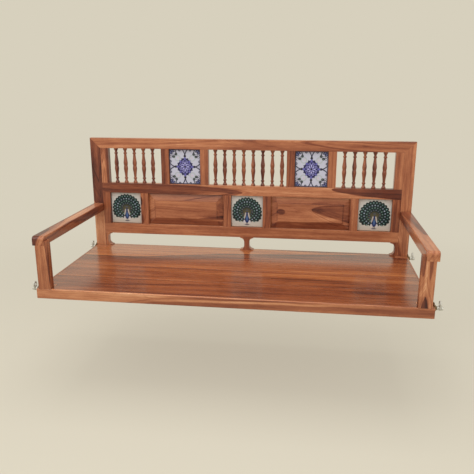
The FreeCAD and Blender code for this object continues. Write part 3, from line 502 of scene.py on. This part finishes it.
def dress_hardware():
    """Gives the fittings, the screws, the backing boards and the joinery their materials."""
    steel = metal("satin_steel", srgb(206, 205, 196), srgb(178, 175, 162), 0.50, 0.4, 0.45)
    bronze = metal("dark_bronze", srgb(142, 112, 76), srgb(92, 70, 46), 0.46, 0.8, 0.6)
    zinc = metal("yellow_zinc", srgb(190, 170, 120), srgb(120, 110, 90), 0.3, 0.5)
    ply = plain_wood("backing_ply", srgb(176, 120, 92), srgb(146, 92, 68), (5.0, 200.0, 220.0))
    beech = plain_wood("bare_beech", srgb(200, 160, 115), srgb(170, 125, 85), (150.0, 150.0, 20.0))
    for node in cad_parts:
        if node.startswith("hanger_"):
            dress(node, bronze if node == "hanger_rosettes" else steel)
    dress("plank_screws", zinc)
    for node in ("upper_tile_boards", "lower_tile_boards"):
        dress(node, ply)
    for node in ("foot_dowels", "arm_dowels", "mitre_tongues"):
        dress(node, beech)


# Painted tiles. Each painter takes grids of millimetres from the tile's middle, and gives colour and
# relief. The step of the grid, the radius of the eased rim and the height of the relief are in millimetres.

TILE_STEP = 0.75
TILE_EASE = 1.2
RELIEF = 0.6
WHITE_GLAZE = srgb(184, 186, 204)
CREAM_GLAZE = srgb(196, 197, 190)
CLAY = srgb(186, 150, 120)


def cover(distance, soft=0.5):
    """1 inside an edge and 0 outside it, from the distance outside the edge in millimetres."""
    return np.clip(0.5 - distance / (2 * soft), 0.0, 1.0)


def ground(x, colour):
    """A picture of one colour, as large as the grid."""
    return np.ones(x.shape + (3,)) * np.array(colour[:3])


def lay(picture, share, colour):
    """Paints a colour over a picture where the share is above 0."""
    return picture + share[..., None] * (np.array(srgb(*colour)[:3]) - picture)


def petal_ring(radius, angle, count, inner, outer, fullness, turn=0.0):
    """Distance outside a ring of petals: each is a lens between two radii, as wide as fullness
    times its share of the circle at its middle, and narrows to both ends as 1 - t squared."""
    pitch = 2 * math.pi / count
    folded = np.mod(angle - turn + pitch / 2, pitch) - pitch / 2
    middle, half = (inner + outer) / 2, (outer - inner) / 2
    t = (radius - middle) / half
    width = fullness * pitch * middle / 2 * (1 - t ** 2)
    return np.where(np.abs(t) < 1.05, np.abs(folded) * radius - width, 5.0)


def paint_rosette_tile(x, z):
    """White glaze with a violet-blue rosette, four large lobes that meet at dark knots, and leafy
    corners. A lobe's edge is an ellipse, and the rosette's a curve between a circle and a diamond with a
    cosine wave on it."""
    picture = ground(x, WHITE_GLAZE)
    ax, az = np.abs(x), np.abs(z)
    lobe = 43.0 * (np.hypot((ax - 42) / 42, (az - 48) / 48) - 1)
    picture = lay(picture, cover(lobe), (190, 193, 208))
    wreath = np.abs(np.hypot(ax - 36, az - 41) - 13)
    picture = lay(picture, cover(wreath - 2.4, 1.5) * 0.6, (160, 172, 162))
    picture = lay(picture, cover(np.hypot(ax - 33, az - 42) - 4.0, 2.5) * 0.5, (206, 176, 170))
    picture = lay(picture, cover(np.abs(lobe) - 2.3), (46, 46, 66))

    corner = np.hypot(ax - 78, az - 85)
    corner_angle = np.arctan2(85 - az, 78 - ax)
    claws = petal_ring(corner, corner_angle, 10, 20, 46, 0.56)
    picture = lay(picture, cover(claws - 2.4), (54, 54, 76))
    picture = lay(picture, cover(claws), (192, 194, 208))
    picture = lay(picture, cover(corner - 28.0 - 3.0 * np.cos(12 * corner_angle)), (52, 54, 82))
    picture = lay(picture, cover(petal_ring(corner, corner_angle, 12, 4, 28, 0.66)), (104, 110, 156))
    veins = petal_ring(corner, corner_angle, 12, 12, 24, 0.34, math.pi / 12)
    picture = lay(picture, cover(veins), (42, 46, 76))
    hook = np.minimum(np.hypot(ax - 43, az - 60), np.hypot(ax - 54, az - 48))
    picture = lay(picture, cover(hook - 6.6), (38, 40, 50))
    picture = lay(picture, cover(hook - 3.0), (112, 136, 112))
    curl = np.minimum(np.hypot(ax - 71, az - 25), np.hypot(ax - 26, az - 79))
    picture = lay(picture, cover(curl - 6.0), (50, 50, 70))
    picture = lay(picture, cover(curl - 2.2), (170, 172, 190))
    stem = np.maximum(np.abs(np.hypot(ax - 58, az - 65) - 16) - 1.5, -(ax + az - 100))
    picture = lay(picture, cover(stem), (44, 44, 58))

    knot = np.minimum(np.hypot(ax, (az - 50.5) * 0.85), np.hypot((ax - 44.5) * 0.85, az))
    picture = lay(picture, cover(knot - 6.0), (36, 34, 42))
    radius = 41.0 * (np.abs(x / 42.0) ** 1.5 + np.abs(z / 47.0) ** 1.5) ** (1 / 1.5)
    angle = np.arctan2(z / 47.0, x / 42.0)
    picture = lay(picture, cover(radius - 38.5 - 3.0 * np.cos(16 * angle)), (62, 60, 122))
    height = 0.35 * cover(radius - 39.0, 1.5)
    for count, inner, outer, fullness, colour, turn in (
        (16, 26, 41, 0.56, (104, 102, 172), 0.0),
        (8, 24, 43, 0.42, (38, 38, 78), math.pi / 8),
        (16, 31, 39, 0.30, (36, 34, 78), math.pi / 16),
        (8, 18, 30, 0.84, (146, 146, 200), math.pi / 8),
        (8, 19, 29, 0.46, (42, 42, 92), 0.0),
        (8, 21, 28, 0.36, (52, 50, 104), math.pi / 8),
        (8, 8, 21, 0.74, (126, 124, 186), 0.0),
        (8, 10, 18, 0.34, (198, 200, 228), 0.0),
        (8, 11, 20, 0.40, (36, 36, 82), math.pi / 8),
        (8, 3, 10, 0.70, (150, 150, 204), math.pi / 8),
    ):
        petals = petal_ring(radius, angle, count, inner, outer, fullness, turn)
        picture = lay(picture, cover(petals), colour)
    picture = lay(picture, cover(radius - 5.0), (30, 28, 40))
    edge = np.minimum(ax.max() - ax, az.max() - az)
    picture = lay(picture, cover(edge - 4.6) * 0.85, (72, 68, 90))
    return picture, height


def paint_peacock_tile(x, z):
    """Cream glaze with a bird before its fanned tail. The fan is a disc above and a box with round corners
    below, with a frill of arcs and a notch at its foot. Rings of eyes run round the disc's middle, and
    plumes twist out from it in step with the radius."""
    picture = ground(x, CREAM_GLAZE)
    picture = lay(picture, cover(z + 52, 26.0) * 0.7, (186, 166, 146))
    picture = lay(picture, cover(np.hypot(np.abs(x) - 78, z - 78) - 26, 14.0) * 0.5, (206, 180, 164))
    half, lowest, corner = 70.0, -50.0, 30.0
    radius, angle = np.hypot(x, z * half / 67), np.arctan2(z, x)
    box_x = np.maximum(np.abs(x) - (half - corner), 0.0)
    box_z = np.maximum((lowest + corner) - z, 0.0)
    fan = np.where(z > 0, radius - half, np.hypot(box_x, box_z) - corner)
    share = np.mod(angle + math.pi / 2, 2 * math.pi) / (2 * math.pi)
    frill = np.mod(share * 26, 1.0) - 0.5
    notch = np.maximum(np.abs(x) - 3.0 - 0.42 * np.maximum(-26 - z, 0.0), z + 26.0)
    edge = np.maximum(fan + 6.0 * (2 * frill) ** 2 - 2.5, -notch)

    sprig = np.hypot(np.mod(x + 9, 36) - 18, np.mod(z + 30, 40) - 20)
    picture = lay(picture, cover(sprig - 5.0, 3.0) * 0.35, (150, 168, 158))
    inside = cover(edge)
    picture = lay(picture, inside, (20, 36, 36))
    height = 0.5 * cover(edge, 2.5)
    heart = np.hypot(x, (z + 14) * 1.1)
    picture = lay(picture, inside * cover(heart - 34.0, 10.0) * 0.7, (46, 44, 36))
    plume = np.mod(share * 18 + radius / 40, 1.0) - 0.5
    barb = cover(np.abs(plume) * 2 * math.pi / 18 * np.maximum(heart, 6.0) - 1.6, 1.0)
    picture = lay(picture, inside * barb * cover(heart - 34.0, 8.0) * 0.7, (116, 106, 70))
    for ring, eyes, offset, size, colour in (
        (61.0, 26, 0.0, 5.4, (138, 172, 164)), (48.5, 22, 0.5, 5.6, (168, 180, 196)),
        (36.0, 17, 0.0, 5.2, (126, 158, 142)), (25.0, 13, 0.5, 4.6, (120, 116, 132)),
    ):
        side = np.mod(share * eyes + offset, 1.0) - 0.5
        eye = np.hypot(side * 2 * math.pi / eyes * radius, (radius - ring) * 0.85)
        picture = lay(picture, cover(eye - size) * inside, (16, 44, 46))
        shine = 0.75 + 0.25 * np.cos(5 * angle + ring)
        picture = lay(picture, cover(eye - 0.48 * size) * inside * shine, colour)
        picture = lay(picture, cover(eye - 0.14 * size) * inside, (30, 36, 80))

    slope = np.abs(x) - 9.0 + 0.24 * (z + 20)
    wing = np.maximum(np.abs(slope) - 3.0 * np.clip((z + 48) / 20, 0, 1), np.abs(z + 22) - 15)
    picture = lay(picture, cover(wing), (180, 174, 168))
    lobes = np.hypot(np.abs(x) - 11, z + 51) - 7.0
    picture = lay(picture, cover(lobes), (198, 194, 196))
    body = 10.0 * (np.hypot(x / 10.0, (z + 40) / 17.0) - 1)
    neck = np.maximum(np.abs(x) - 3.8, np.abs(z + 22) - 14)
    head = np.hypot(x, (z + 7) / 1.15) - 4.2
    bird = np.minimum(np.minimum(body, neck), head)
    picture = lay(picture, cover(bird), (30, 46, 92))
    picture = lay(picture, cover(4.0 * (np.hypot(x / 4.0, (z + 34) / 14.0) - 1)), (72, 100, 146))
    height = np.maximum(height, cover(bird, 3.0))
    crest = np.minimum.reduce([np.hypot(x - dx, z - 3 - dz) for dx, dz in ((-4, 2), (0, 4), (4, 2))])
    picture = lay(picture, cover(crest - 1.4), (60, 96, 140))
    legs = np.maximum(np.abs(np.abs(x) - 3) - 1.0, np.abs(z + 60) - 5)
    picture = lay(picture, cover(legs), (44, 42, 64))
    perch = 3.0 * (np.hypot(x / 12.0, (z + 66) / 3.0) - 1)
    picture = lay(picture, cover(perch) * 0.9, (84, 78, 92))
    return picture, height


def painted_tile(node, painter, material):
    """A closed slab in a tile's place. Its face is a grid: the depth behind the tile's front is (1 - the
    painter's relief) * RELIEF, the whole of RELIEF near the rim, and at the rim the fall of a quarter circle
    of the ease's radius. The sides run straight to a flat back."""
    low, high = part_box(node)
    width, tall = (high.x - low.x) / MM, (high.z - low.z) / MM
    columns = int(round(width / TILE_STEP)) + 1
    rows = int(round(tall / TILE_STEP)) + 1
    x, z = np.meshgrid(np.linspace(-width / 2, width / 2, columns), np.linspace(-tall / 2, tall / 2, rows))
    picture, relief = painter(x, z)
    rim = np.minimum(width / 2 - np.abs(x), tall / 2 - np.abs(z))
    short = np.clip(TILE_EASE - rim, 0.0, TILE_EASE)
    fall = TILE_EASE - np.sqrt(TILE_EASE ** 2 - short ** 2)
    depth = (1 - relief) * RELIEF * cover(2.0 - rim, 2.0) + fall + RELIEF * (1 - cover(2.0 - rim, 2.0))
    centre = (low + high) / 2
    front = np.stack([centre.x + x * MM, low.y + depth * MM, centre.z + z * MM], -1)

    index = np.arange(rows * columns).reshape(rows, columns)
    quads = np.stack([index[:-1, :-1], index[:-1, 1:], index[1:, 1:], index[1:, :-1]], -1).reshape(-1, 4)
    border = np.concatenate([index[0, :-1], index[:-1, -1], index[-1, :0:-1], index[:0:-1, 0]])
    back = front.reshape(-1, 3)[border].copy()
    back[:, 1] = high.y
    start = rows * columns
    ring = start + np.arange(len(border))
    sides = np.stack([border, ring, np.roll(ring, -1), np.roll(border, -1)], -1)
    points = np.concatenate([front.reshape(-1, 3), back])
    faces = quads.tolist() + sides.tolist() + [ring[::-1].tolist()]

    mesh = bpy.data.meshes.new(node + "_painted")
    mesh.from_pydata(points.tolist(), [], faces)
    paint = mesh.attributes.new("paint", "FLOAT_COLOR", "POINT")
    colours = np.concatenate([picture.reshape(-1, 3), np.tile(CLAY[:3], (len(border), 1))])
    rgba = np.concatenate([colours, np.ones((len(colours), 1))], 1)
    paint.data.foreach_set("color", rgba.astype(np.float32).ravel())
    mesh.polygons.foreach_set("use_smooth", [True] * len(quads) + [False] * (len(sides) + 1))
    mesh.materials.append(material)
    tile = bpy.data.objects.new(node + "_painted", mesh)
    bpy.context.scene.collection.objects.link(tile)
    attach(tile, "bench")
    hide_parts(node)


def lay_tiles():
    """Two rosette tiles in the upper row and three peacock tiles in the lower one."""
    glass = glaze("tile_glaze")
    for side in ("left", "right"):
        painted_tile("blue_tile_" + side, paint_rosette_tile, glass)
    for side in ("left", "centre", "right"):
        painted_tile("peacock_tile_" + side, paint_peacock_tile, glass)


# Camera, light and floor. The camera's angles are in radians, and its sensor's width is in millimetres.

BACKGROUND = srgb(215, 208, 189)
SKY_STRENGTH = 0.50
CAMERA_PLACE = (0.3062, -2.2840, 0.8230)
CAMERA_YAW = 0.1357
CAMERA_PITCH = 0.2679
FOCAL_PIXELS = 555.65
PICTURE_PIXELS = 474.0
SENSOR_WIDTH = 36.0
HANGING_HEIGHT = 0.46
FLOOR_REACH = 14.0
# The floor fades into the background between these distances, from this share to the whole
FADE_NEAR, FADE_FAR, FADE_SHARE = 1.2, 3.2, 0.60


def make_camera():
    data = bpy.data.cameras.new("camera")
    data.sensor_width = SENSOR_WIDTH
    data.lens = FOCAL_PIXELS / PICTURE_PIXELS * SENSOR_WIDTH
    camera = bpy.data.objects.new("camera", data)
    bpy.context.scene.collection.objects.link(camera)
    camera.location = CAMERA_PLACE
    forward = Vector((
        -math.sin(CAMERA_YAW) * math.cos(CAMERA_PITCH),
        math.cos(CAMERA_YAW) * math.cos(CAMERA_PITCH),
        -math.sin(CAMERA_PITCH),
    ))
    camera.rotation_mode = "QUATERNION"
    camera.rotation_quaternion = forward.to_track_quat("-Z", "Y")
    bpy.context.scene.camera = camera


def lamp(name, place, aim, size, power):
    """A white square lamp of a size in metres and a power in watts, turned toward a point."""
    data = bpy.data.lights.new(name, "AREA")
    data.size, data.energy = size, power
    light = bpy.data.objects.new(name, data)
    bpy.context.scene.collection.objects.link(light)
    light.location = place
    light.rotation_mode = "QUATERNION"
    light.rotation_quaternion = (Vector(aim) - Vector(place)).to_track_quat("-Z", "Y")


def make_sky():
    """A world that shows the background's colour and lights the bench with soft white."""
    world = bpy.data.worlds.new("studio")
    bpy.context.scene.world = world
    world.use_nodes = True
    tree = world.node_tree
    tree.nodes.clear()
    seen = tree.nodes.new("ShaderNodeBackground")
    seen.inputs["Color"].default_value = BACKGROUND
    light = tree.nodes.new("ShaderNodeBackground")
    light.inputs["Color"].default_value = srgb(255, 250, 244)
    light.inputs["Strength"].default_value = SKY_STRENGTH
    path = tree.nodes.new("ShaderNodeLightPath")
    shown = tree.nodes.new("ShaderNodeMath")
    shown.operation = "MAXIMUM"
    also = tree.nodes.new("ShaderNodeMath")
    also.operation = "MAXIMUM"
    mix = tree.nodes.new("ShaderNodeMixShader")
    out = tree.nodes.new("ShaderNodeOutputWorld")
    tree.links.new(path.outputs["Is Camera Ray"], shown.inputs[0])
    tree.links.new(path.outputs["Is Glossy Ray"], shown.inputs[1])
    tree.links.new(shown.outputs[0], also.inputs[0])
    tree.links.new(path.outputs["Is Transmission Ray"], also.inputs[1])
    tree.links.new(also.outputs[0], mix.inputs[0])
    tree.links.new(light.outputs[0], mix.inputs[1])
    tree.links.new(seen.outputs[0], mix.inputs[2])
    tree.links.new(mix.outputs[0], out.inputs[0])


def make_floor():
    """A flat pale floor at the bench's hanging height, which fades into the background far away."""
    corners = ((-1, -1), (1, -1), (1, 1), (-1, 1))
    mesh = bpy.data.meshes.new("floor")
    points = [(x * FLOOR_REACH, y * FLOOR_REACH, -HANGING_HEIGHT) for x, y in corners]
    mesh.from_pydata(points, [], [(0, 1, 2, 3)])
    floor = bpy.data.objects.new("floor", mesh)
    bpy.context.scene.collection.objects.link(floor)
    recipe = Recipe("pale_floor")
    recipe.finish(BACKGROUND, 0.9)
    x, y = recipe.split(recipe.place)[:2]
    away = recipe.maths("SQRT", recipe.maths("MULTIPLY_ADD", x, x, recipe.maths("MULTIPLY", y, y)))
    glow = recipe.add("ShaderNodeEmission")
    glow.inputs["Color"].default_value = BACKGROUND
    mix = recipe.add("ShaderNodeMixShader")
    recipe.feed(mix.inputs[0], recipe.step(away, FADE_NEAR, FADE_FAR, FADE_SHARE, 1.0))
    recipe.feed(mix.inputs[1], recipe.shader.outputs[0])
    recipe.feed(mix.inputs[2], glow.outputs[0])
    recipe.feed(recipe.tree.nodes["Material Output"].inputs["Surface"], mix.outputs[0])
    mesh.materials.append(recipe.material)


def light_studio():
    """A large soft lamp at the front left, a weak one at the front right and one overhead."""
    lamp("key", (-1.6, -2.6, 2.6), (0, 0, 0.2), 3.6, 69)
    lamp("fill", (2.4, -2.2, 1.6), (0, 0, 0.2), 2.0, 18)
    lamp("top", (0.0, -0.4, 2.8), (0, 0.1, 0), 2.4, 52)


make_camera()
dress_boards()
dress_hardware()
lay_tiles()
make_sky()
make_floor()
light_studio()
